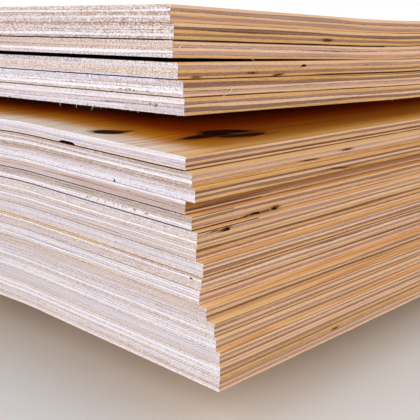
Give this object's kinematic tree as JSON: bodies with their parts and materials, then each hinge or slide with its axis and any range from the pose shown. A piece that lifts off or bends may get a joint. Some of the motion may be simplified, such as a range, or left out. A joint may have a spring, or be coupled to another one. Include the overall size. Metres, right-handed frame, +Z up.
{
  "type": "stack of plywood sheets",
  "caption": "Stack of full-size softwood plywood sheets in two lifts, kept apart by spacer boards and kept off the floor by timber bearers",
  "frame": {"origin": "middle of the underside of the middle bearer, which stands on the floor", "axes": "+X along the length of the sheets, +Y across them, +Z up"},
  "size_m": [2.44, 1.293, 0.4803],
  "materials": {
    "plywood_upper": "raw sanded softwood plywood",
    "plywood_lower": "raw unsanded softwood plywood",
    "timber": "rough-sawn softwood"
  },
  "bodies": {
    "root": {"bearer_1": "timber", "bearer_2": "timber", "bearer_3": "timber", "sheet_01": "plywood_upper", "sheet_02": "plywood_upper", "sheet_03": "plywood_upper", "sheet_04": "plywood_upper", "sheet_05": "plywood_upper", "sheet_06": "plywood_upper", "sheet_07": "plywood_lower", "sheet_08": "plywood_lower", "sheet_09": "plywood_lower", "sheet_10": "plywood_lower", "sheet_11": "plywood_lower", "sheet_12": "plywood_lower", "sheet_13": "plywood_lower", "sheet_14": "plywood_lower", "sheet_15": "plywood_lower", "sheet_16": "plywood_lower", "sheet_17": "plywood_lower", "sheet_18": "plywood_lower", "sheet_19": "plywood_lower", "sheet_20": "plywood_lower", "sheet_21": "plywood_lower", "sheet_22": "plywood_lower", "spacer_1": "timber", "spacer_2": "timber", "spacer_3": "timber"}
  },
  "joints": []
}
